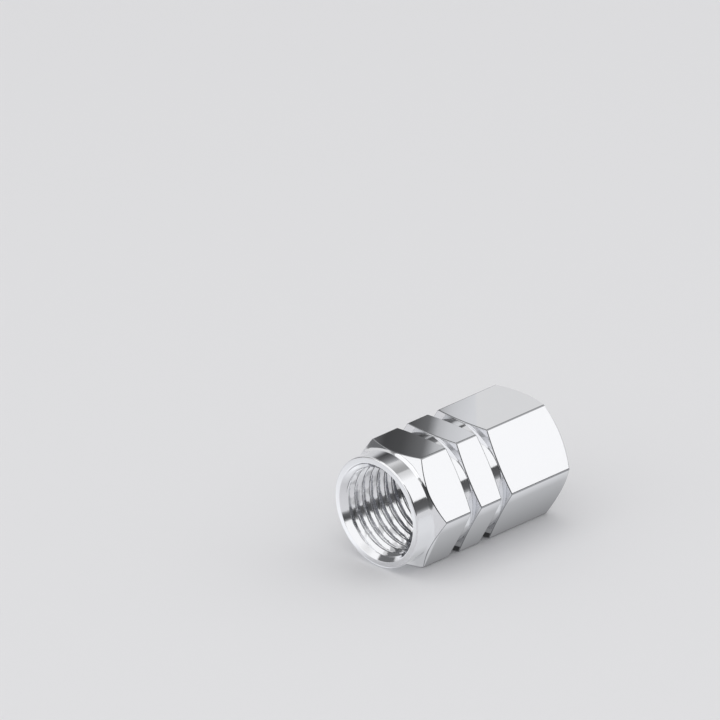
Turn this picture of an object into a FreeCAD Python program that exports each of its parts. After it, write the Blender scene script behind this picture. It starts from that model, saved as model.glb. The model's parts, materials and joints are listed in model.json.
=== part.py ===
import FreeCAD, Part
import math
import os
import Sketcher

# Tyre valve cap: a turned and milled metal shell with a threaded blind bore, and the rubber
# washer that seals at the end of that bore. Each body is drawn with its axis along its own Z,
# from the mouth face at Z = 0 to the crown. Its Placement then lays the cap on one flat, with
# the mouth towards -Y, and puts the row's origin on the axis where the thread begins.

# Alias, size in millimetres or degrees, what it measures
DIMENSIONS = [
    ("bore_diameter", 7.0, "wall of the threaded bore, which is the crests of its thread"),
    ("thread_length", 9.4, "straight wall of the threaded bore"),
    ("countersink_width", 0.5, "bevel inside the mouth, on the radius"),
    ("countersink_angle", 45.0, "slope of that bevel from the mouth face"),
    ("rim_width", 0.5, "mouth face between the countersink and the collar's side"),
    ("rim_round", 0.16, "round on the rim's outer edge"),
    ("mouth_round", 0.08, "round on the rim's inner edge"),
    ("collar_length", 1.7, "mouth face to the foot of the bevel"),
    ("collar_root_round", 0.5, "blend between the collar and the bevel"),
    ("collar_step", 0.1, "collar below the flats"),
    ("mouth_bevel_angle", 38.5, "slope of the bevel behind the collar from the mouth face"),
    ("ridge_trim", 0.03, "bar turned inside the sharp ridges, which leaves a narrow land"),
    ("first_groove", 5.53, "mouth face to the middle of the first grip groove"),
    ("groove_spacing", 3.26, "middle of one grip groove to the next"),
    ("groove_count", 2, "grip grooves"),
    ("groove_step", 0.1, "floor of a grip groove below the flats"),
    ("groove_floor_width", 0.76, "flat floor of a grip groove"),
    ("groove_wall_angle", 12.0, "lean of a grip groove's walls"),
    ("crown_thickness", 4.8, "washer seat to the crown face"),
    ("crown_inset", 0.4, "edge of the crown face inside the flats"),
    ("crown_bevel_angle", 31.0, "slope of the crown's bevel from the crown face"),
    ("crown_round", 0.15, "round between the crown face and its bevel"),
    ("chamber_step", 0.45, "washer chamber beyond the bore's wall, on the radius"),
    ("drill_diameter", 5.0, "drill point beyond the washer, clear of the valve's pin"),
    ("drill_point_angle", 118.0, "whole angle of that drill point"),
    ("washer_thickness", 1.2, "rubber washer along the axis"),
    ("washer_slack", 0.3, "washer chamber longer than the washer"),
    ("washer_clearance", 0.05, "washer clear of its chamber's wall, on the radius"),
    ("washer_hole", 3.6, "hole through the washer"),
    ("washer_round", 0.15, "round on the washer's edges"),
]

# Radii from the axis, each standing on the one before
BORE = "dims.bore_diameter / 2"
COUNTERSINK = f"({BORE} + dims.countersink_width)"
COLLAR = f"({COUNTERSINK} + dims.rim_width)"
FLAT = f"({COLLAR} + dims.collar_step)"
SHARP_RIDGE = f"({FLAT} / cos(30))"
BAR = f"({SHARP_RIDGE} - dims.ridge_trim)"
CROWN = f"({FLAT} - dims.crown_inset)"
GROOVE_FLOOR = f"({FLAT} - dims.groove_step)"
CHAMBER = f"({BORE} + dims.chamber_step)"
WASHER = f"({CHAMBER} - dims.washer_clearance)"

# Distances from the mouth face, each standing on the one before
THREAD_START = "dims.countersink_width * tan(dims.countersink_angle)"
THREAD_END = f"({THREAD_START} + dims.thread_length)"
WASHER_FRONT = f"({THREAD_END} + dims.washer_slack)"
WASHER_SEAT = f"({WASHER_FRONT} + dims.washer_thickness)"
DRILL_TIP = f"({WASHER_SEAT} + dims.drill_diameter / 2 / tan(dims.drill_point_angle / 2))"
CROWN_FACE = f"({WASHER_SEAT} + dims.crown_thickness)"
BEVEL_TOP = f"(dims.collar_length + ({BAR} - {COLLAR}) * tan(dims.mouth_bevel_angle))"
SHOULDER = f"({CROWN_FACE} - ({BAR} - {CROWN}) * tan(dims.crown_bevel_angle))"
GROOVE_FLARE = f"({SHARP_RIDGE} - {GROOVE_FLOOR}) * tan(dims.groove_wall_angle)"

# Size that a sketch is started at, before its constraints move it to its own
ROUGH = 5.0
TOLERANCE = 1e-4


def make_sheet(doc):
    sheet = doc.addObject("Spreadsheet::Sheet", "dims")
    for row, (alias, size, meaning) in enumerate(DIMENSIONS, start=1):
        sheet.set(f"A{row}", alias)
        sheet.set(f"B{row}", str(size))
        sheet.set(f"C{row}", meaning)
        sheet.setAlias(f"B{row}", alias)
    doc.recompute()
    return sheet


def make_body(doc, name):
    """A body laid with its own Z along the row's +Y and the thread's start at the origin."""
    body = doc.addObject("PartDesign::Body", name)
    body.Label = name
    body.Placement = FreeCAD.Placement(
        FreeCAD.Vector(0, 0, 0), FreeCAD.Rotation(FreeCAD.Vector(1, 0, 0), -90)
    )
    body.setExpression("Placement.Base.y", f"-{THREAD_START}")
    return body


def new_sketch(body, name, plane_role):
    sketch = body.newObject("Sketcher::SketchObject", name)
    for plane in body.Origin.OriginFeatures:
        if plane.Role == plane_role:
            sketch.AttachmentSupport = [(plane, "")]
    sketch.MapMode = "FlatFace"
    return sketch


def hold(sketch, kind, line, distance):
    """Holds a line's first end at a distance from the origin, or on the axis for none."""
    if distance is None:
        axis = -2 if kind == "DistanceX" else -1
        sketch.addConstraint(Sketcher.Constraint("PointOnObject", line, 1, axis))
        return
    index = sketch.addConstraint(Sketcher.Constraint(kind, -1, 1, line, 1, ROUGH))
    sketch.setExpression(f"Constraints[{index}]", distance)


def draw_polygon(sketch, count, middle, first_angle):
    """A closed loop of lines, 0 to count - 1, with its corners on a circle of the rough size."""
    angles = [first_angle + 2 * math.pi * i / count for i in range(count)]
    points = [middle + ROUGH * FreeCAD.Vector(math.cos(a), math.sin(a), 0) for a in angles]
    for i in range(count):
        sketch.addGeometry(Part.LineSegment(points[i], points[(i + 1) % count]), False)
    for i in range(count):
        sketch.addConstraint(Sketcher.Constraint("Coincident", i, 2, (i + 1) % count, 1))


def half_section(body, name, corners):
    """A closed outline on the XZ plane. Each corner is its radius and its distance from the
    mouth face, as expressions. None stands for a corner on the axis or on the mouth face."""
    sketch = new_sketch(body, name, "XZ_Plane")
    draw_polygon(sketch, len(corners), FreeCAD.Vector(ROUGH, ROUGH, 0), math.pi)
    for i, (radius, station) in enumerate(corners):
        hold(sketch, "DistanceX", i, radius)
        hold(sketch, "DistanceY", i, station)
    return sketch


def turn_profile(body, kind, name, corners):
    """Turns a half section about the body's Z, as a Revolution or as a Groove."""
    sketch = half_section(body, name + "_section", corners)
    feature = body.newObject(kind, name)
    feature.Profile = sketch
    feature.ReferenceAxis = (sketch, ["V_Axis"])
    feature.Angle = 360
    sketch.Visibility = False
    body.Document.recompute()
    return feature


def circle_edges(feature, radius, station):
    """Names of the feature's full circles of one radius at one distance from the mouth face."""
    names = []
    for number, edge in enumerate(feature.Shape.Edges, start=1):
        curve = edge.Curve
        if not isinstance(curve, Part.Circle):
            continue
        if abs(curve.Radius - radius) < TOLERANCE and abs(curve.Center.z - station) < TOLERANCE:
            names.append(f"Edge{number}")
    return names


def round_edges(body, name, edges, radius):
    base = body.Tip
    feature = body.newObject("PartDesign::Fillet", name)
    feature.Base = (base, edges)
    feature.setExpression("Radius", radius)
    body.Document.recompute()
    return feature


def corner_of(sketch, line):
    """Where a half section's line begins: its radius and its distance from the mouth face."""
    point = sketch.getPoint(line, 1)
    return point.x, point.y


def turned_bar(body):
    """The bar as it leaves the lathe: collar, bevel, round body and bevelled crown."""
    bar = turn_profile(
        body,
        "PartDesign::Revolution",
        "turned_bar",
        [
            (None, None),
            (COLLAR, None),
            (COLLAR, "dims.collar_length"),
            (BAR, BEVEL_TOP),
            (BAR, SHOULDER),
            (CROWN, CROWN_FACE),
            (None, CROWN_FACE),
        ],
    )
    section = bar.Profile[0]
    rim, root, crown = (corner_of(section, line) for line in (1, 2, 5))
    round_edges(body, "rim_round", circle_edges(body.Tip, *rim), "dims.rim_round")
    round_edges(body, "root_round", circle_edges(body.Tip, *root), "dims.collar_root_round")
    round_edges(body, "crown_round", circle_edges(body.Tip, *crown), "dims.crown_round")


def mill_flats(body):
    """Six flats milled along the bar, two of them square to the body's Y."""
    sketch = new_sketch(body, "hexagon", "XY_Plane")
    middle = FreeCAD.Vector(0, 0, 0)
    up = FreeCAD.Vector(0, 0, 1)
    draw_polygon(sketch, 6, middle, 0)
    guide = sketch.addGeometry(Part.Circle(middle, up, ROUGH), True)
    around = sketch.addGeometry(Part.Circle(middle, up, 2 * ROUGH), False)
    for circle in (guide, around):
        sketch.addConstraint(Sketcher.Constraint("Coincident", circle, 3, -1, 1))
    for line in range(6):
        sketch.addConstraint(Sketcher.Constraint("PointOnObject", line, 1, guide))
    for line in range(1, 6):
        sketch.addConstraint(Sketcher.Constraint("Equal", 0, line))
    sketch.addConstraint(Sketcher.Constraint("PointOnObject", 0, 1, -1))
    across = sketch.addConstraint(Sketcher.Constraint("DistanceY", 5, 1, 1, 1, ROUGH))
    sketch.renameConstraint(across, "across_flats")
    sketch.setExpression("Constraints.across_flats", f"2 * {FLAT}")
    outside = sketch.addConstraint(Sketcher.Constraint("Radius", around, 2 * ROUGH))
    sketch.setExpression(f"Constraints[{outside}]", f"2 * {FLAT}")

    flats = body.newObject("PartDesign::Pocket", "milled_flats")
    flats.Profile = sketch
    flats.Type = "ThroughAll"
    flats.Reversed = True
    sketch.Visibility = False
    body.Document.recompute()


def cut_grooves(body):
    """The grip grooves: a flat floor just below the flats, and walls that lean outwards."""
    half_floor = "dims.groove_floor_width / 2"
    groove = turn_profile(
        body,
        "PartDesign::Groove",
        "grip_groove",
        [
            (GROOVE_FLOOR, f"dims.first_groove - {half_floor}"),
            (SHARP_RIDGE, f"dims.first_groove - {half_floor} - {GROOVE_FLARE}"),
            (SHARP_RIDGE, f"dims.first_groove + {half_floor} + {GROOVE_FLARE}"),
            (GROOVE_FLOOR, f"dims.first_groove + {half_floor}"),
        ],
    )
    pattern = body.newObject("PartDesign::LinearPattern", "grip_grooves")
    pattern.Originals = [groove]
    pattern.Direction = (groove.Profile[0], ["V_Axis"])
    pattern.Mode = "Spacing"
    pattern.setExpression("Offset", "dims.groove_spacing")
    pattern.setExpression("Occurrences", "dims.groove_count")
    body.Tip = pattern
    body.Document.recompute()


def cut_bore(body):
    """The blind hole: countersink, threaded wall, washer chamber and drill point."""
    bore = turn_profile(
        body,
        "PartDesign::Groove",
        "blind_bore",
        [
            (None, None),
            (COUNTERSINK, None),
            (BORE, THREAD_START),
            (BORE, THREAD_END),
            (CHAMBER, THREAD_END),
            (CHAMBER, WASHER_SEAT),
            ("dims.drill_diameter / 2", WASHER_SEAT),
            (None, DRILL_TIP),
        ],
    )
    mouth = corner_of(bore.Profile[0], 1)
    round_edges(body, "mouth_round", circle_edges(bore, *mouth), "dims.mouth_round")


def make_cap_shell(doc):
    body = make_body(doc, "cap_shell")
    turned_bar(body)
    mill_flats(body)
    cut_grooves(body)
    cut_bore(body)
    return body


def make_sealing_washer(doc):
    """The rubber ring, flat against its seat at the end of the washer chamber."""
    body = make_body(doc, "sealing_washer")
    ring = turn_profile(
        body,
        "PartDesign::Revolution",
        "washer_ring",
        [
            ("dims.washer_hole / 2", WASHER_FRONT),
            (WASHER, WASHER_FRONT),
            (WASHER, WASHER_SEAT),
            ("dims.washer_hole / 2", WASHER_SEAT),
        ],
    )
    corners = [corner_of(ring.Profile[0], line) for line in range(4)]
    edges = [name for corner in corners for name in circle_edges(ring, *corner)]
    round_edges(body, "washer_round", edges, "dims.washer_round")
    return body


def check_cuts(doc):
    """Each cut must take metal away."""
    cuts = ("PartDesign::Pocket", "PartDesign::Groove", "PartDesign::LinearPattern")
    for feature in doc.Objects:
        if feature.TypeId in cuts:
            taken = feature.BaseFeature.Shape.Volume - feature.Shape.Volume
            if taken <= TOLERANCE:
                raise RuntimeError(f"{feature.Name} cuts nothing")


def check_document(doc, bodies):
    for thing in doc.Objects:
        if "Invalid" in thing.State or "Error" in thing.State:
            raise RuntimeError(f"{thing.Name} did not compute: {thing.State}")
    for body in bodies:
        shape = body.Shape
        if shape.isNull() or not shape.isValid() or len(shape.Solids) != 1:
            raise RuntimeError(f"{body.Label} is not one valid solid")


def main():
    doc = FreeCAD.newDocument("tyre_valve_cap")
    make_sheet(doc)
    bodies = [make_cap_shell(doc), make_sealing_washer(doc)]
    doc.recompute()
    check_document(doc, bodies)
    check_cuts(doc)
    os.makedirs("parts", exist_ok=True)
    for body in bodies:
        body.Shape.exportStep(f"parts/{body.Label}.step")
        print(body.Label, round(body.Shape.Volume, 2), "mm3")


main()
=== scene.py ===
import json
import math

import bmesh
import bpy
from mathutils import Matrix, Vector


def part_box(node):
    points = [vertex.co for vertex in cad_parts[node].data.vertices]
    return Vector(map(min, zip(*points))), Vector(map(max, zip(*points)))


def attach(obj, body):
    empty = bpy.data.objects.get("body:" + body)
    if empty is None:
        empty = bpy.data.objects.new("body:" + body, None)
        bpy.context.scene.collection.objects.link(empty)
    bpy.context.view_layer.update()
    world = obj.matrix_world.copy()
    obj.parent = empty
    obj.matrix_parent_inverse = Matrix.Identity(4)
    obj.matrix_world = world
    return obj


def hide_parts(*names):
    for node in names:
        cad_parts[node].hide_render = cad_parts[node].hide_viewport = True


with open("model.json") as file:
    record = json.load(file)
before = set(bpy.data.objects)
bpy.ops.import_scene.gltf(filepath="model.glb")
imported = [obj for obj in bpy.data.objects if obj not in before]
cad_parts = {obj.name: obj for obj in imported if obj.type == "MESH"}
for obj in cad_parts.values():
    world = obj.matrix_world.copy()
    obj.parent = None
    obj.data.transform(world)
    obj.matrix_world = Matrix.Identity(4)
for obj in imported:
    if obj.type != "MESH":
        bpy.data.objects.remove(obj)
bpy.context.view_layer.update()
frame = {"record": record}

# Sizes of the cap in metres, with y along its axis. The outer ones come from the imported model.
MM = 0.001
SHELL_LOW, SHELL_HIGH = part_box("cap_shell")
WASHER_LOW, WASHER_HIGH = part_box("sealing_washer")
THREAD_MOUNT = next(m for m in frame["record"]["mounts"] if m["name"] == "valve_thread")
MOUTH = SHELL_LOW.y
CROWN_FACE = SHELL_HIGH.y
FLAT = SHELL_HIGH.z
RIDGE = SHELL_HIGH.x
FLOOR = SHELL_LOW.z
CREST = THREAD_MOUNT["dims"]["r_mm"] * MM
THREAD_END = THREAD_MOUNT["dims"]["length_mm"] * MM

THREAD_DEPTH = 0.4 * MM
THREAD_PITCH = 25.4 / 32 * MM
COUNTERSINK = CREST - MOUTH
COLLAR = COUNTERSINK + 0.5 * MM
COLLAR_FOOT = MOUTH + 1.7 * MM
ROOT_BLEND = 0.5 * MM
MOUTH_BEVEL = math.radians(38.5)
RIM_ROUND = 0.16 * MM
MOUTH_ROUND = 0.033 * MM
GROOVES = (MOUTH + 5.53 * MM, MOUTH + 8.79 * MM)
GROOVE_FLOOR = FLAT - 0.1 * MM
GROOVE_HALF = 0.38 * MM
GROOVE_LEAN = math.tan(math.radians(12))
CROWN = FLAT - 0.4 * MM
CROWN_SLOPE = math.tan(math.radians(31))
CROWN_ROUND = 0.042 * MM
CHAMBER = CREST + 0.45 * MM
SEAT = WASHER_HIGH.y
DRILL = 2.5 * MM
DRILL_TIP = SEAT + DRILL / math.tan(math.radians(59))
WASHER_BORE = 1.8 * MM
WASHER_EDGE = 0.15 * MM
WASHER_RIM = 0.05 * MM
WASHER_DISH = 0.04 * MM
EDGE = 0.06 * MM
GROOVE_EDGE = 0.075 * MM
GROOVE_CORNER = 0.02 * MM
WELD = 0.002 * MM

# Columns round the axis. The bar has six flats and six rounded ridges.
FLAT_STEPS = 26
RIDGE_STEPS = 6
HALF_SECTOR = math.radians(30)
SIDES = 6 * (FLAT_STEPS + RIDGE_STEPS)
WASHER_SIDES = 96
THREAD_STEPS = 24
THREAD_TURNS = math.ceil((THREAD_END - MOUTH) / THREAD_PITCH) + 1

# Steps of the eased corners along the outline, and rows of the mouth bevel.
LIP_STEPS = 3
RIM_STEPS = 6
EASE_STEPS = 3
WASHER_STEPS = 5
BEVEL_ROWS = 9

# Rings within the crown's face, the drill's cone and the washer's front, as shares of the way.
CROWN_RINGS = (0.75, 0.45, 0.15)
DRILL_RINGS = (0.4, 0.8)
WASHER_RINGS = (0.25, 0.4, 0.5, 0.6, 0.75)

# How much duller the ridges are, and how much painted shade they take, beside the other edges,
# which are 1.
RIDGE_DULL_AND_SHADE = 0.85

# The metal's tones, the dark tone of the painted edge shade and of the torn streaks, and how much
# of it the edges and the torn streaks take.
METAL_TONES = ((0.845, 0.85, 0.87, 1), (0.865, 0.87, 0.89, 1))
SHADE_AND_STREAK_TONE = (0.14, 0.145, 0.155, 1)
EDGE_SHADE_SHARE = 0.75
STREAK_SHARE = 0.35

# The metal's roughness over the haze, and what drawn, tapped and dull places add to it.
HAZE_FROM, HAZE_TO = 0.35, 0.7
SMOOTHEST, ROUGHEST = 0.085, 0.105
DRAWN_ADDS, TAPPED_ADDS, DULL_ADDS = -0.03, 0.01, 0.1

# The metal's marks, with scales per metre and depths in metres. The lines are drawn out along
# the cap, and the tears round the bore.
HAZE_SCALE = 900
RING_SCALE = 9000
LINE_SCALE = 7000
LINE_STRETCH = (1, 0.015, 1)
MARK_DEPTH = 3e-7
TEAR_SCALE = 8500
TEAR_ROUND = 3
TEAR_FROM, TEAR_TO = 0.52, 0.60
TEAR_DEPTH = 3e-5

# The tapped finish ends this far within the chamber's wall.
BORE_MARGIN = 0.02 * MM

# The rubber's tones, its roughness, and its grain and dust in the same units.
RUBBER_TONES = ((0.024, 0.024, 0.024, 1), (0.045, 0.044, 0.042, 1))
RUBBER_ROUGHNESS = 0.78
GRAIN_SCALE = 6000
GRAIN_STRENGTH = 0.6
GRAIN_DEPTH = 8e-6
DUST_SCALE = 700

# The camera: its angles, a point of the cap's axis with its pixel, and pixels across the flats.
AZIMUTH, ELEVATION, ROLL = (math.radians(angle) for angle in (46.0, 25.22, -1.2))
AXIS_POINT = Vector((0, 1.846 * MM, 0))
AXIS_PIXEL = (398, 503)
PIXELS_ACROSS = 120.67
IMAGE_SIDE = 720
LENS = 1500
SENSOR = 36
CLIPPING = (0.01, 10)

# The studio: the floor, how bright the walls and the ceiling are, and where the walls end and the
# ceiling starts on the way up from 0 at the horizon to 1 overhead.
FLOOR_HALF = 0.8
FLOOR_TONE = (0.79, 0.79, 0.805, 1)
FLOOR_ROUGHNESS = 0.9
WALLS, CEILING = 0.76, 0.36
WALLS_END, CEILING_START = 0.72, 0.78

# Soft panels, each with its direction from the cap, distance, size and brightness.
PANELS = {
    "right_panel": ((0.53, 0.62, 0.57), 0.40, (0.36, 0.36), 0.26),
    "front_panel": ((0.0, -0.82, 0.57), 0.45, (0.80, 0.56), 0.25),
    "overhead_panel": ((0, 0, 1), 0.50, (0.60, 0.60), 0.60),
}

# The cards are a little cool.
CARD_TINT = (1, 1.01, 1.03)

# Cards that stand on the floor. Each has two ends, as x, y and height, and its tones by height.
STANDING_CARDS = {
    "right_band": (
        ((0.298, 0.035, 0.083), (0.11, 0.28, 0.083)),
        ((FLOOR, 0.42), (0.02, 0.12), (0.083, 0.08)),
    ),
    "front_band": (
        ((0.188, -0.235, 0.16), (0.298, 0.035, 0.083)),
        ((FLOOR, 0.42), (0.02, 0.12), (0.16, 0.06)),
    ),
    "low_band": (
        ((0.07, -0.30, 0.075), (0.188, -0.235, 0.075)),
        ((FLOOR, 0.12), (0.02, 0.08), (0.055, 0.08), (0.075, 0.35)),
    ),
    "left_band": (
        ((-0.252, -0.163, 0.25), (-0.299, -0.026, 0.25)),
        ((FLOOR, 0.40), (0.03, 0.16), (0.25, 0.16)),
    ),
}

# A dark card in two parts above the bands: its lower corners, its upper ones and its tones.
SIDE_LOW = ((0.235, -0.195, 0.155), (0.300, 0.030, 0.083), (0.265, 0.141, 0.083))
SIDE_HIGH = ((0.195, -0.160, 0.26), (0.250, 0.025, 0.26), (0.225, 0.120, 0.26))
SIDE_TONES = ((0.08, 0.06), (0.26, 0.06))

# Cards across the direction that the top flat mirrors. Their corners, and the places of their
# tones and fades, are in millimetres, across to the right and upwards.
MIRRORED = Vector((-0.651, 0.629, 0.426)).normalized()
ACROSS = Vector((0.695, 0.719, 0)).normalized()
UPRIGHT = ACROSS.cross(MIRRORED)
PLATE_DISTANCE = 0.027
PLATE_CARDS = {
    "left_card": (
        ((-5, -9), (7.5, 4.6)),
        ACROSS + UPRIGHT * 0.25,
        (
            (-2.6, 0.62),
            (-1.2, 0.37),
            (0.2, 0.13),
            (1.2, 0.06),
            (2.6, 0.076),
            (3.4, 0.115),
            (4.3, 0.155),
            (4.7, 0.30),
            (5.1, 0.50),
            (5.9, 0.62),
            (7.5, 0.72),
        ),
        ((-5, 0), (-1.5, 1), (7.5, 1)),
    ),
    "left_top_card": (
        ((-3.5, 4.6), (9, 13.5)),
        UPRIGHT,
        ((4.6, 0.08), (7.2, 0.115), (10.3, 0.23), (13.5, 0.45)),
        ((-3.5, 0), (0.5, 1), (9, 1)),
    ),
}

# Cards that lie on the floor, in millimetres, for the metal to mirror: painted shadow, dark near
# the cap's contact, and painted light, brighter than the floor, further out. Each has its outline,
# its direction and tones, and the direction and stops of its fade.
RIGHTWARDS, BACKWARDS, FORWARDS = (1, 0, 0), (0, 1, 0), (0, -1, 0)
FLOOR_CARDS = {
    # Painted light in front of the mouth, brighter than the floor, for the rim and the countersink
    # to mirror.
    "front_floor_card": (
        ((-26, -20), (5, -20), (5, -0.8), (-26, -0.8)),
        FORWARDS,
        ((0.8, 0.74), (2.4, 1.06), (4, 1.06), (7.3, 0.95), (14, 0.80), (20, 0.74)),
        (RIGHTWARDS, ((-26, 0), (-14, 1), (-4, 1), (-0.5, 0))),
    ),
    # Painted shadow under the bar's overhang, dark near the contact and brighter further out.
    "right_floor_card": (
        ((2.6, 1.75), (5.2, 5.4), (9, 5.4), (9, -0.8), (40, -0.8), (40, 30), (2.6, 30)),
        RIGHTWARDS,
        (
            (2.6, 0.245),
            (3, 0.31),
            (3.9, 0.425),
            (4.5, 0.50),
            (4.75, 0.65),
            (5, 0.75),
            (9, 0.80),
            (15, 0.82),
            (40, 0.72),
        ),
        (BACKWARDS, ((-0.8, 1), (17, 1), (20, 0.5), (30, 0))),
    ),
    # Painted shadow under the cap, a near-black sheet where the floor is in contact shade.
    "contact_shadow_card": (
        ((-2.6, 1.75), (2.6, 1.75), (2.6, 15.4), (-2.6, 15.4)),
        RIGHTWARDS,
        ((-2.6, 0.04), (1.6, 0.05), (1.9, 0.20), (2.6, 0.23)),
        None,
    ),
    # Painted light under the collar, brighter than the shaded floor there, dimmer near the contact.
    "collar_card": (
        ((-4, -0.8), (9, -0.8), (9, 5.4), (5.2, 5.4), (2.6, 1.75), (-4, 1.75)),
        RIGHTWARDS,
        (
            (-4, 0.80),
            (0.8, 0.80),
            (1.4, 0.65),
            (2.2, 0.53),
            (3.2, 0.55),
            (3.8, 0.62),
            (4.4, 0.70),
            (9, 0.80),
        ),
        (RIGHTWARDS, ((-4, 0), (-2, 1), (9, 1))),
    ),
}
CARD_LIFT = 0.03 * MM

# The dark card under each groove, a painted shadow that the groove mirrors, in millimetres: its
# sides, its length along the cap and tones.
SLOT_SIDES = (1.9, 2.66)
SLOT_LENGTH = 0.5
SLOT_TONES = ((1.9, 0.03), (2.66, 0.03))
SLOT_LIFT = 0.02 * MM


def eased(before, corner, after, reach, steps):
    """A corner of an outline, rounded from one side's point `reach` away to the other's."""
    start = corner + (before - corner).normalized() * reach
    end = corner + (after - corner).normalized() * reach
    points = []
    for step in range(steps + 1):
        t = step / steps
        points.append(start * (1 - t) ** 2 + corner * 2 * t * (1 - t) + end * t**2)
    return points


def rounded(corners, steps):
    """The eased corners between an outline's two ends, from corners with their reaches."""
    points = []
    for (before, _), (corner, reach), (after, _) in zip(corners, corners[1:], corners[2:]):
        points += eased(before, corner, after, reach, steps)
    return points


def bar_columns():
    """Each column's angle round the axis, how far the bar reaches there and if it is a ridge's."""
    sharp = FLAT / math.cos(HALF_SECTOR)
    ridge_radius = (sharp - RIDGE) / (sharp / FLAT - 1)
    ridge_centre = sharp - ridge_radius * sharp / FLAT
    half_flat = FLAT * math.tan(HALF_SECTOR) - ridge_radius * math.tan(HALF_SECTOR)
    columns = []
    for sector in range(6):
        middle = math.radians(30 + 60 * sector)
        for step in range(FLAT_STEPS + 1):
            along = half_flat * (2 * step / FLAT_STEPS - 1)
            columns.append((middle + math.atan2(along, FLAT), math.hypot(along, FLAT), False))
        corner = middle + HALF_SECTOR
        for step in range(1, RIDGE_STEPS):
            turn = math.radians(60 * step / RIDGE_STEPS - 30)
            out = ridge_centre + ridge_radius * math.cos(turn)
            side = ridge_radius * math.sin(turn)
            columns.append((corner + math.atan2(side, out), math.hypot(side, out), True))
    return columns


def mouth_bevel(reach):
    """The collar's root blend and the bevel up to the bar's reach, in rows of equal length, and
    the corner that they end at."""
    blend_turn = math.radians(90) - MOUTH_BEVEL
    blend_start = COLLAR_FOOT - ROOT_BLEND * math.tan(blend_turn / 2)
    blend_top = COLLAR + ROOT_BLEND * (1 - math.cos(blend_turn))
    turn = blend_turn
    if reach < blend_top:
        turn = math.acos(1 - (reach - COLLAR) / ROOT_BLEND)
    blend_length = ROOT_BLEND * turn
    length = blend_length + max(0.0, reach - blend_top) / math.sin(blend_turn)
    points = []
    for far in [length * row / BEVEL_ROWS for row in range(BEVEL_ROWS)] + [length - EDGE, length]:
        angle = min(far, blend_length) / ROOT_BLEND
        past = max(0.0, far - blend_length)
        y = blend_start + ROOT_BLEND * math.sin(angle) + past * math.sin(MOUTH_BEVEL)
        r = COLLAR + ROOT_BLEND * (1 - math.cos(angle)) + past * math.sin(blend_turn)
        points.append(Vector((y, r)))
    return points[:-1], points[-1]


def outer_outline(reach):
    """One column of the outside, (y, r) from the countersink to the crown's middle."""
    cone = Vector((0, CREST))
    lip = Vector((MOUTH, COUNTERSINK))
    rim = Vector((MOUTH, COLLAR))
    bevel, corner = mouth_bevel(reach)
    points = eased(cone, lip, rim, MOUTH_ROUND, LIP_STEPS)
    points += eased(lip, rim, bevel[0], RIM_ROUND, RIM_STEPS)
    points += bevel
    wall = (reach - GROOVE_FLOOR) * GROOVE_LEAN
    corners = [(bevel[-1], 0), (corner, EDGE)]
    for middle in GROOVES:
        corners.append((Vector((middle - GROOVE_HALF - wall, reach)), GROOVE_EDGE))
        corners.append((Vector((middle - GROOVE_HALF, GROOVE_FLOOR)), GROOVE_CORNER))
        corners.append((Vector((middle + GROOVE_HALF, GROOVE_FLOOR)), GROOVE_CORNER))
        corners.append((Vector((middle + GROOVE_HALF + wall, reach)), GROOVE_EDGE))
    shoulder = CROWN_FACE - (reach - CROWN) * CROWN_SLOPE
    corners.append((Vector((shoulder, reach)), EDGE))
    corners.append((Vector((CROWN_FACE, CROWN)), CROWN_ROUND))
    corners.append((Vector((CROWN_FACE, 0)), 0))
    points += rounded(corners, EASE_STEPS)
    points += [Vector((CROWN_FACE, CROWN * share)) for share in CROWN_RINGS]
    return points


def shaded_edge_rows(rows):
    """Which rows of the outside lie on the edges of the mouth bevel and of the grooves, where a
    dark line of shade is painted.
    """
    first = (LIP_STEPS + 1) + (RIM_STEPS + 1) + (BEVEL_ROWS + 1)
    per_edge = EASE_STEPS + 1
    last = first + per_edge * (1 + 4 * len(GROOVES))
    return [first <= row < last and (row - first) % per_edge in (1, 2) for row in range(rows)]


def chamber_outline():
    """The washer's chamber, its seat and the drill point, (y, r) up to the drill's tip."""
    step = Vector((THREAD_END, CHAMBER))
    corner = Vector((SEAT, CHAMBER))
    drill = Vector((SEAT, DRILL))
    tip = Vector((DRILL_TIP, 0))
    points = [step, step.lerp(corner, 0.5)]
    points += rounded([(step, 0), (corner, EDGE), (drill, EDGE), (tip, 0)], EASE_STEPS)
    points += [drill.lerp(tip, share) for share in DRILL_RINGS]
    return points


def add_skin(bm, columns, tip=None):
    """Faces between columns of points that go round the axis, and to the tip of the last ring.
    Gives the columns' vertices back."""
    rings = [[bm.verts.new(point) for point in column] for column in columns]
    for near, far in zip(rings, rings[1:] + rings[:1]):
        for row in range(len(near) - 1):
            bm.faces.new((near[row], near[row + 1], far[row + 1], far[row]))
    if tip is not None:
        point = bm.verts.new(tip)
        for near, far in zip(rings, rings[1:] + rings[:1]):
            bm.faces.new((near[-1], point, far[-1]))
    return rings


def on_circle(angle, point):
    """An outline's point, turned to its column."""
    y, r = point
    return Vector((r * math.cos(angle), y, r * math.sin(angle)))


def turned(outline, sides):
    """Even columns of one outline round the axis."""
    angles = [2 * math.pi * side / sides for side in range(sides)]
    return [[on_circle(angle, point) for point in outline] for angle in angles]


def node(tree, kind, settings=(), **inputs):
    """A node with its settings, and its inputs set by name to a number, a colour or a socket."""
    made = tree.nodes.new(kind)
    for name, value in dict(settings).items():
        setattr(made, name, value)
    for name, value in inputs.items():
        feed(tree, made, name.replace("_", " "), value)
    return made


def feed(tree, made, name, value):
    """Sets or links one input of a node, by its name or its place in the list."""
    socket = made.inputs[name]
    if isinstance(value, bpy.types.NodeSocket):
        tree.links.new(value, socket)
    else:
        socket.default_value = value


def calc(tree, operation, *values):
    """A Math node's result."""
    made = tree.nodes.new("ShaderNodeMath")
    made.operation = operation
    for place, value in enumerate(values):
        feed(tree, made, place, value)
    return made.outputs[0]


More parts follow.
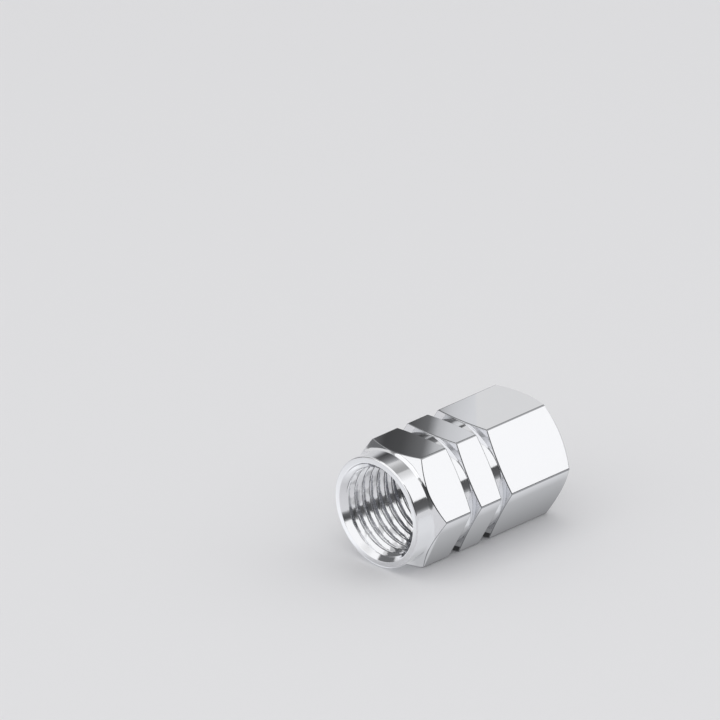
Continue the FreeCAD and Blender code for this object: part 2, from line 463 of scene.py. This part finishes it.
def mapped(tree, value, before, after=(0.0, 1.0)):
    """A value moved from one range to another, and held within it."""
    made = node(tree, "ShaderNodeMapRange", Value=value, From_Min=before[0], From_Max=before[1])
    feed(tree, made, "To Min", after[0])
    feed(tree, made, "To Max", after[1])
    return made.outputs["Result"]


# What the thread is made from. The flats and the seam's half width are shares of the pitch.
THREAD_SIZES = {
    "Mouth": ("NodeSocketFloat", MOUTH + MOUTH_ROUND * math.sqrt(0.5)),
    "Mouth radius": ("NodeSocketFloat", COUNTERSINK - MOUTH_ROUND * math.sqrt(0.5)),
    "Thread end": ("NodeSocketFloat", THREAD_END),
    "Chamber radius": ("NodeSocketFloat", CHAMBER),
    "Crest radius": ("NodeSocketFloat", CREST),
    "Root radius": ("NodeSocketFloat", CREST + THREAD_DEPTH),
    "Pitch": ("NodeSocketFloat", THREAD_PITCH),
    "Crest flat": ("NodeSocketFloat", 0.17),
    "Root flat": ("NodeSocketFloat", 0.05),
    "Seam half": ("NodeSocketFloat", 0.1),
    "Seam depth": ("NodeSocketFloat", 0.12 * MM),
    "Turns": ("NodeSocketInt", THREAD_TURNS),
    "Steps per turn": ("NodeSocketInt", THREAD_STEPS),
    "Sides": ("NodeSocketInt", SIDES),
    "Metal": ("NodeSocketMaterial", None),
}

# The thread's grid is 1 by 1 about its middle. Its last row widens out to the chamber.
GRID_HALF = 0.5
BEFORE_LAST_ROW = 0.9999


def thread_radius(tree, size, phase):
    """The thread's radius by its phase: crest, flank and root, with a seam along the crest."""
    off_crest = calc(tree, "PINGPONG", phase, 0.5)
    start = calc(tree, "MULTIPLY", size["Crest flat"], 0.5)
    end = calc(tree, "MULTIPLY_ADD", size["Root flat"], -0.5, 0.5)
    flank = mapped(tree, off_crest, (start, end), (size["Crest radius"], size["Root radius"]))
    seam = node(
        tree,
        "ShaderNodeMapRange",
        {"interpolation_type": "SMOOTHSTEP"},
        Value=off_crest,
        From_Max=size["Seam half"],
        To_Min=size["Seam depth"],
        To_Max=0.0,
    )
    return calc(tree, "ADD", flank, seam.outputs["Result"])


def thread_tree():
    """The right-handed thread in the bore, from the countersink to the washer's chamber.
    A shallow seam runs along its crest, as a forming tap leaves it. The rows follow the helix,
    and the ends are cut square by holding the rows at the two planes."""
    tree = bpy.data.node_groups.new("Valve thread", "GeometryNodeTree")
    for name, (kind, _) in THREAD_SIZES.items():
        tree.interface.new_socket(name, in_out="INPUT", socket_type=kind)
    tree.interface.new_socket("Geometry", in_out="OUTPUT", socket_type="NodeSocketGeometry")
    size = tree.nodes.new("NodeGroupInput").outputs
    rows = calc(tree, "ADD", calc(tree, "MULTIPLY", size["Turns"], size["Steps per turn"]), 1)
    columns = calc(tree, "ADD", size["Sides"], 1)
    grid = node(
        tree, "GeometryNodeMeshGrid", Size_X=1, Size_Y=1, Vertices_X=columns, Vertices_Y=rows
    )
    spot = tree.nodes.new("GeometryNodeInputPosition").outputs[0]
    place = node(tree, "ShaderNodeSeparateXYZ", Vector=spot)
    around = calc(tree, "ADD", place.outputs["X"], GRID_HALF)
    along = calc(tree, "ADD", place.outputs["Y"], GRID_HALF)
    turns = calc(tree, "SUBTRACT", calc(tree, "MULTIPLY", along, size["Turns"]), around)
    helix = calc(tree, "MULTIPLY_ADD", turns, size["Pitch"], size["Mouth"])
    y = calc(tree, "MINIMUM", calc(tree, "MAXIMUM", helix, size["Mouth"]), size["Thread end"])
    inward = calc(tree, "SUBTRACT", y, size["Mouth"])
    phase = calc(tree, "ADD", calc(tree, "DIVIDE", inward, size["Pitch"]), around)
    countersink = calc(tree, "SUBTRACT", size["Mouth radius"], inward)
    threaded = calc(tree, "MAXIMUM", thread_radius(tree, size, phase), countersink)
    last_row = calc(tree, "GREATER_THAN", along, BEFORE_LAST_ROW)
    widening = calc(tree, "SUBTRACT", size["Chamber radius"], threaded)
    radius = calc(tree, "ADD", threaded, calc(tree, "MULTIPLY", last_row, widening))
    angle = calc(tree, "MULTIPLY", around, 2 * math.pi)
    x = calc(tree, "MULTIPLY", radius, calc(tree, "COSINE", angle))
    z = calc(tree, "MULTIPLY", radius, calc(tree, "SINE", angle))
    goal = node(tree, "ShaderNodeCombineXYZ", X=x, Y=y, Z=z).outputs[0]
    mesh = grid.outputs["Mesh"]
    mesh = node(tree, "GeometryNodeSetPosition", Geometry=mesh, Position=goal).outputs[0]
    mesh = node(tree, "GeometryNodeMergeByDistance", Geometry=mesh, Distance=WELD).outputs[0]
    mesh = node(tree, "GeometryNodeRealizeInstances", Geometry=mesh).outputs[0]
    mesh = node(tree, "GeometryNodeSetMaterial", Geometry=mesh, Material=size["Metal"]).outputs[0]
    node(tree, "NodeGroupOutput", Geometry=mesh)
    return tree


def baked(name, tree, sizes):
    """The plain mesh that a node tree gives with these sizes."""
    holder = bpy.data.objects.new(name, bpy.data.meshes.new(name))
    bpy.context.scene.collection.objects.link(holder)
    modifier = holder.modifiers.new(name, "NODES")
    modifier.node_group = tree
    for item in tree.interface.items_tree:
        if item.in_out == "INPUT":
            modifier[item.identifier] = sizes[item.name]
    bpy.context.view_layer.update()
    seen = holder.evaluated_get(bpy.context.evaluated_depsgraph_get())
    mesh = bpy.data.meshes.new_from_object(seen)
    holder.modifiers.remove(modifier)
    bpy.data.objects.remove(holder)
    return mesh


def add_object(name, bm, material):
    """An object at the origin from a mesh under construction."""
    mesh = bpy.data.meshes.new(name)
    bm.to_mesh(mesh)
    bm.free()
    mesh.materials.clear()
    mesh.materials.append(material)
    made = bpy.data.objects.new(name, mesh)
    bpy.context.scene.collection.objects.link(made)
    return made


def piece(name, bm, material):
    """A smooth object from a closed mesh, with its faces turned outwards. The large faces at a
    point set its normal, so that the flats stay flat between their eased edges."""
    bmesh.ops.remove_doubles(bm, verts=bm.verts, dist=WELD)
    bmesh.ops.recalc_face_normals(bm, faces=bm.faces)
    for face in bm.faces:
        face.smooth = True
    normals = []
    for vert in bm.verts:
        leans = (face.normal * (face.calc_area() / MM**2) ** 4 for face in vert.link_faces)
        normals.append(sum(leans, Vector()).normalized())
    made = add_object(name, bm, material)
    made.data.normals_split_custom_set_from_vertices(normals)
    return made


def make_shell(metal):
    """The cap itself: bar, collar, grooves and crown outside, thread and chamber inside."""
    sizes = {name: value for name, (_, value) in THREAD_SIZES.items()}
    sizes["Metal"] = metal
    thread = baked("thread", thread_tree(), sizes)
    bm = bmesh.new()
    bm.from_mesh(thread)
    bpy.data.meshes.remove(thread)
    bar = bar_columns()
    columns = []
    for place, (angle, reach, _) in enumerate(bar):
        even = 2 * math.pi * (place + RIDGE_STEPS / 2) / SIDES
        column = []
        for row, point in enumerate(outer_outline(reach)):
            column.append(on_circle(even if row <= LIP_STEPS else angle, point))
        columns.append(column)
    dull_and_painted_shade = bm.verts.layers.float.new("dull_and_painted_shade")
    drawn = bm.verts.layers.float.new("drawn")
    edge_rows = shaded_edge_rows(len(columns[0]))
    rings = add_skin(bm, columns, Vector((0, CROWN_FACE, 0)))
    # The bar's ridges and the edges of the bevel and grooves are marked for a duller finish and a
    # painted dark line of shade.
    for (_, reach, on_ridge), ring in zip(bar, rings):
        for on_edge, vert in zip(edge_rows, ring):
            far_out = math.hypot(vert.co.x, vert.co.z) > reach - EDGE / 2
            on_bar = far_out and vert.co.y > COLLAR_FOOT
            vert[dull_and_painted_shade] = max(RIDGE_DULL_AND_SHADE * (on_ridge and on_bar), on_edge)
            vert[drawn] = float(on_bar and not on_ridge)
    add_skin(bm, turned(chamber_outline(), SIDES), Vector((0, DRILL_TIP, 0)))
    shell = piece("cap_shell_turned", bm, metal)
    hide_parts("cap_shell")
    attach(shell, "root")


def make_washer(rubber):
    """The moulded rubber washer, a little crowned between its rounded edges."""
    outer = WASHER_HIGH.x
    front = WASHER_LOW.y
    back = WASHER_HIGH.y
    corners = [
        (Vector((front, outer)), WASHER_EDGE),
        (Vector(((front + back) / 2, outer)), WASHER_RIM),
        (Vector((back, outer)), WASHER_EDGE),
        (Vector((back, WASHER_BORE)), WASHER_EDGE),
        (Vector((front, WASHER_BORE)), WASHER_EDGE),
    ]
    outline = rounded(corners[-1:] + corners + corners[:1], WASHER_STEPS)
    for share in WASHER_RINGS:
        r = WASHER_BORE + WASHER_EDGE + (outer - WASHER_BORE - 2 * WASHER_EDGE) * share
        outline.append(Vector((front + WASHER_DISH * math.sin(math.pi * share), r)))
    outline.append(outline[0].copy())
    bm = bmesh.new()
    add_skin(bm, turned(outline, WASHER_SIDES))
    washer = piece("sealing_washer_moulded", bm, rubber)
    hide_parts("sealing_washer")
    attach(washer, "root")


def empty_material(name):
    """A material with an emptied node tree."""
    material = bpy.data.materials.new(name)
    material.use_nodes = True
    material.node_tree.nodes.clear()
    return material, material.node_tree


def new_material(name):
    """A material with its tree emptied but for the shader and the output."""
    material, tree = empty_material(name)
    shader = tree.nodes.new("ShaderNodeBsdfPrincipled")
    node(tree, "ShaderNodeOutputMaterial", Surface=shader.outputs["BSDF"])
    return material, tree, shader


def noise(tree, scale, detail, settings=(), **inputs):
    """A noise texture's value."""
    made = node(tree, "ShaderNodeTexNoise", settings, Scale=scale, Detail=detail, **inputs)
    return made.outputs["Fac"]


def tone_between(tree, share, tones):
    """A colour between two tones."""
    first, second = tones
    made = node(tree, "ShaderNodeMix", {"data_type": "RGBA"}, Factor=share, A=first, B=second)
    return made.outputs["Result"]


def polishing_marks(tree, spot, section, flat):
    """Faint rings where the metal was turned, and lengthwise lines on the drawn flats."""
    rings = noise(tree, RING_SCALE, 3, {"noise_dimensions": "1D"}, W=section)
    long_way = node(tree, "ShaderNodeVectorMath", {"operation": "MULTIPLY"})
    feed(tree, long_way, 0, spot)
    feed(tree, long_way, 1, LINE_STRETCH)
    lines = noise(tree, LINE_SCALE, 3, Vector=long_way.outputs[0])
    return node(tree, "ShaderNodeMix", Factor=flat, A=rings, B=lines).outputs["Result"]


def tearing(tree, section, angle):
    """The tap's torn streaks, long round the bore and fine across the thread."""
    around = node(
        tree,
        "ShaderNodeCombineXYZ",
        X=calc(tree, "MULTIPLY", calc(tree, "SINE", angle), TEAR_ROUND),
        Y=calc(tree, "MULTIPLY", section, TEAR_SCALE),
        Z=calc(tree, "MULTIPLY", calc(tree, "COSINE", angle), TEAR_ROUND),
    )
    return noise(tree, 1.0, 2, Vector=around.outputs[0])


def polished_aluminium():
    """Bright turned and polished aluminium: the marks of its making, a fine haze, duller edges with
    a painted dark line of shade along them, and torn streaks in the thread."""
    material, tree, shader = new_material("polished aluminium")
    shader.inputs["Metallic"].default_value = 1.0
    spot = tree.nodes.new("ShaderNodeTexCoord").outputs["Object"]
    parts = node(tree, "ShaderNodeSeparateXYZ", Vector=spot)
    x, y, z = (parts.outputs[axis] for axis in "XYZ")
    radius = calc(tree, "SQRT", calc(tree, "MULTIPLY_ADD", z, z, calc(tree, "MULTIPLY", x, x)))
    section = calc(tree, "ADD", y, radius)
    inside = calc(tree, "LESS_THAN", radius, CHAMBER - BORE_MARGIN)
    threaded = calc(tree, "COMPARE", y, THREAD_END / 2, THREAD_END / 2)
    tapped = calc(tree, "MULTIPLY", inside, threaded)
    edge = node(tree, "ShaderNodeAttribute", {"attribute_name": "dull_and_painted_shade"}).outputs["Fac"]
    flat = node(tree, "ShaderNodeAttribute", {"attribute_name": "drawn"}).outputs["Fac"]
    haze = noise(tree, HAZE_SCALE, 4, Vector=spot)
    tear = tearing(tree, section, calc(tree, "ARCTAN2", z, x))

    rough = mapped(tree, haze, (HAZE_FROM, HAZE_TO), (SMOOTHEST, ROUGHEST))
    roughness = calc(tree, "MULTIPLY_ADD", flat, DRAWN_ADDS, rough)
    roughness = calc(tree, "MULTIPLY_ADD", tapped, TAPPED_ADDS, roughness)
    roughness = calc(tree, "MULTIPLY_ADD", edge, DULL_ADDS, roughness)
    feed(tree, shader, "Roughness", roughness)

    clean = tone_between(tree, haze, METAL_TONES)
    streaked = calc(tree, "MULTIPLY", mapped(tree, tear, (TEAR_FROM, TEAR_TO)), tapped)
    dark = calc(tree, "MULTIPLY", streaked, STREAK_SHARE)
    # Painted shade: the edges darken towards the shade tone, and so do the torn streaks in the
    # thread.
    dull = calc(tree, "MAXIMUM", calc(tree, "MULTIPLY", edge, EDGE_SHADE_SHARE), dark)
    feed(tree, shader, "Base Color", tone_between(tree, dull, (clean, SHADE_AND_STREAK_TONE)))

    marks = polishing_marks(tree, spot, section, flat)
    marked = node(tree, "ShaderNodeBump", Height=marks, Strength=1.0, Distance=MARK_DEPTH)
    torn = calc(tree, "MULTIPLY", tear, tapped)
    bump = node(tree, "ShaderNodeBump", Height=torn, Strength=1.0, Distance=TEAR_DEPTH)
    feed(tree, bump, "Normal", marked.outputs["Normal"])
    feed(tree, shader, "Normal", bump.outputs["Normal"])
    return material


def black_rubber():
    """Matte moulded rubber with a fine grain and a little dust."""
    material, tree, shader = new_material("black rubber")
    spot = tree.nodes.new("ShaderNodeTexCoord").outputs["Object"]
    grain = noise(tree, GRAIN_SCALE, 3, Vector=spot)
    dust = noise(tree, DUST_SCALE, 5, Vector=spot)
    feed(tree, shader, "Base Color", tone_between(tree, dust, RUBBER_TONES))
    feed(tree, shader, "Roughness", RUBBER_ROUGHNESS)
    bump = node(tree, "ShaderNodeBump", Height=grain, Strength=GRAIN_STRENGTH)
    feed(tree, bump, "Distance", GRAIN_DEPTH)
    feed(tree, shader, "Normal", bump.outputs["Normal"])
    return material


def flat_object(name, corners, material):
    """A flat stage object from its corners."""
    bm = bmesh.new()
    bm.faces.new([bm.verts.new(corner) for corner in corners])
    made = add_object(name, bm, material)
    return made


def studio_floor():
    """A plain pale floor that the cap lies on."""
    material, tree, shader = new_material("floor paper")
    feed(tree, shader, "Base Color", FLOOR_TONE)
    feed(tree, shader, "Roughness", FLOOR_ROUGHNESS)
    feed(tree, shader, "Specular IOR Level", 0.0)
    signs = ((-1, -1), (1, -1), (1, 1), (-1, 1))
    corners = [(x * FLOOR_HALF, y * FLOOR_HALF, FLOOR) for x, y in signs]
    flat_object("studio_floor", corners, material)


def studio_walls():
    """Light walls round the floor and a greyer ceiling."""
    world = bpy.data.worlds.new("studio")
    world.use_nodes = True
    bpy.context.scene.world = world
    tree = world.node_tree
    tree.nodes.clear()
    look = tree.nodes.new("ShaderNodeTexCoord").outputs["Generated"]
    height = node(tree, "ShaderNodeSeparateXYZ", Vector=look).outputs["Z"]
    tone = mapped(tree, height, (WALLS_END, CEILING_START), (WALLS, CEILING))
    back = node(tree, "ShaderNodeBackground", Color=(1, 1, 1, 1), Strength=tone)
    node(tree, "ShaderNodeOutputWorld", Surface=back.outputs[0])


def facing(direction, distance):
    """Where something stands in this direction from the cap, turned to face it."""
    away = Vector(direction).normalized()
    turn = away.to_track_quat("Z", "Y").to_matrix().to_4x4()
    return Matrix.Translation(away * distance) @ turn


def softbox(name, direction, distance, size, brightness):
    """A soft panel that adds one brightness all over to the wall behind it."""
    light = bpy.data.lights.new(name, "AREA")
    light.shape = "RECTANGLE"
    light.size, light.size_y = size
    light.energy = 4 * brightness * size[0] * size[1]
    lamp = bpy.data.objects.new(name, light)
    lamp.matrix_world = facing(direction, distance)
    lamp.visible_camera = False
    bpy.context.scene.collection.objects.link(lamp)


def ramp_along(tree, direction, stops):
    """A colour ramp over the distance along one direction, from stops of a distance and a value."""
    spot = tree.nodes.new("ShaderNodeTexCoord").outputs["Object"]
    along = node(tree, "ShaderNodeVectorMath", {"operation": "DOT_PRODUCT"})
    feed(tree, along, 0, spot)
    feed(tree, along, 1, direction)
    first, last = stops[0][0], stops[-1][0]
    share = mapped(tree, along.outputs["Value"], (first, last))
    ramp = node(tree, "ShaderNodeValToRGB", Fac=share)
    bands = ramp.color_ramp.elements
    while len(bands) < len(stops):
        bands.new(1.0)
    for band, (place, value) in zip(bands, stops):
        band.position = (place - first) / (last - first)
        band.color = (*(value * tint for tint in CARD_TINT), 1)
    return ramp.outputs["Color"]


def card(name, corners, direction, stops, fade=None):
    """A glowing card that only the polished metal shows, a painted reflection that lights nothing
    and casts no shadow. Its tone changes along one direction, in stops of a distance and a tone,
    and it may fade out along another."""
    material, tree = empty_material(name)
    glow = ramp_along(tree, direction, stops)
    shown = node(tree, "ShaderNodeEmission", Color=glow, Strength=1.0).outputs[0]
    if fade:
        clear = tree.nodes.new("ShaderNodeBsdfTransparent")
        mix = tree.nodes.new("ShaderNodeMixShader")
        feed(tree, mix, 0, ramp_along(tree, *fade))
        feed(tree, mix, 1, clear.outputs[0])
        feed(tree, mix, 2, shown)
        shown = mix.outputs[0]
    node(tree, "ShaderNodeOutputMaterial", Surface=shown)
    holder = flat_object(name, corners, material)
    holder.visible_camera = False
    holder.visible_diffuse = False
    holder.visible_shadow = False


def in_metres(stops):
    """Stops of a ramp, with their distances turned from millimetres into metres."""
    return [(place * MM, value) for place, value in stops]


def wall_card(name, ends, tones):
    """A card that stands on the floor between two ends."""
    first, last = ends
    corners = [(first[0], first[1], FLOOR), (last[0], last[1], FLOOR), last, first]
    card(name, corners, (0, 0, 1), tones)


def plate_card(name, reach, direction, tones, fade):
    """A card across the direction that the top flat mirrors."""
    low, high = reach
    places = ((low[0], low[1]), (high[0], low[1]), (high[0], high[1]), (low[0], high[1]))
    corners = []
    for right, rise in places:
        corners.append(MIRRORED * PLATE_DISTANCE + ACROSS * right * MM + UPRIGHT * rise * MM)
    card(name, corners, direction, in_metres(tones), (ACROSS, in_metres(fade)))


def floor_card(name, outline, direction, tones, fade=None, lift=CARD_LIFT):
    """A card that lies just over the floor."""
    corners = [(x * MM, y * MM, FLOOR + lift) for x, y in outline]
    if fade:
        fade = (fade[0], in_metres(fade[1]))
    card(name, corners, direction, in_metres(tones), fade)


def light_studio():
    """Soft panels, and the cards whose tones the polished metal shows as painted reflections and
    painted shadows.
    """
    for name, panel in PANELS.items():
        softbox(name, *panel)
    for name, standing in STANDING_CARDS.items():
        wall_card(name, *standing)
    for part in (0, 1):
        corners = (SIDE_LOW[part], SIDE_LOW[part + 1], SIDE_HIGH[part + 1], SIDE_HIGH[part])
        card("side_card", corners, (0, 0, 1), SIDE_TONES)
    for name, plate in PLATE_CARDS.items():
        plate_card(name, *plate)
    for name, lying in FLOOR_CARDS.items():
        floor_card(name, *lying)
    left, right = SLOT_SIDES
    # Painted shadow under each groove.
    for middle in GROOVES:
        near, far = middle / MM, middle / MM + SLOT_LENGTH
        outline = ((left, near), (right, near), (right, far), (left, far))
        floor_card("slot_shadow_card", outline, RIGHTWARDS, SLOT_TONES, lift=CARD_LIFT + SLOT_LIFT)


def set_camera():
    """A long lens that looks into the mouth from above and to the right."""
    back = Vector(
        (
            math.sin(AZIMUTH) * math.cos(ELEVATION),
            -math.cos(AZIMUTH) * math.cos(ELEVATION),
            math.sin(ELEVATION),
        )
    )
    level = Vector((math.cos(AZIMUTH), math.sin(AZIMUTH), 0))
    right = level * math.cos(ROLL) + back.cross(level) * math.sin(ROLL)
    up = back.cross(right)
    scale = PIXELS_ACROSS / (2 * FLAT)
    middle = IMAGE_SIDE / 2
    shift = right * (middle - AXIS_PIXEL[0]) + up * (AXIS_PIXEL[1] - middle)
    camera = bpy.data.cameras.new("camera")
    camera.sensor_width = SENSOR
    camera.lens = LENS
    distance = IMAGE_SIDE / scale * LENS / SENSOR
    camera.clip_start, camera.clip_end = CLIPPING
    holder = bpy.data.objects.new("camera", camera)
    turn = Matrix((right, up, back)).transposed().to_4x4()
    holder.matrix_world = Matrix.Translation(AXIS_POINT + shift / scale + back * distance) @ turn
    bpy.context.scene.collection.objects.link(holder)
    bpy.context.scene.camera = holder


set_camera()
studio_floor()
studio_walls()
light_studio()
make_shell(polished_aluminium())
make_washer(black_rubber())

bpy.context.scene.view_settings.view_transform = "Standard"
bpy.context.scene.cycles.glossy_bounces = 12
